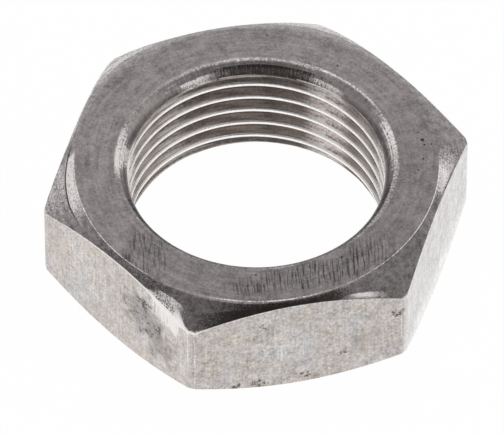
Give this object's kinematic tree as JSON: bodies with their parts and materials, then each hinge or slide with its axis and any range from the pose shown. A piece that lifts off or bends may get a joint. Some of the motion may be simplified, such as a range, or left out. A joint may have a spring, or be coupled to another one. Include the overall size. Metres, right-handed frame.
{
  "type": "lock nut",
  "caption": "Thin chamfered hexagon lock nut in plain stainless steel, with a parallel pipe thread and rounded mouths at both faces.",
  "frame": {"origin": "centre of the lower face, on the axis of the thread", "axes": "+Z along the thread out of the bearing face on top, X through two corners, Y square to two flats"},
  "size_m": [0.0408, 0.0356, 0.0115],
  "materials": {
    "stainless_steel": "turned faces and chamfers, drawn bar on the flats"
  },
  "bodies": {
    "root": {"lock_nut": "stainless_steel"}
  },
  "joints": []
}
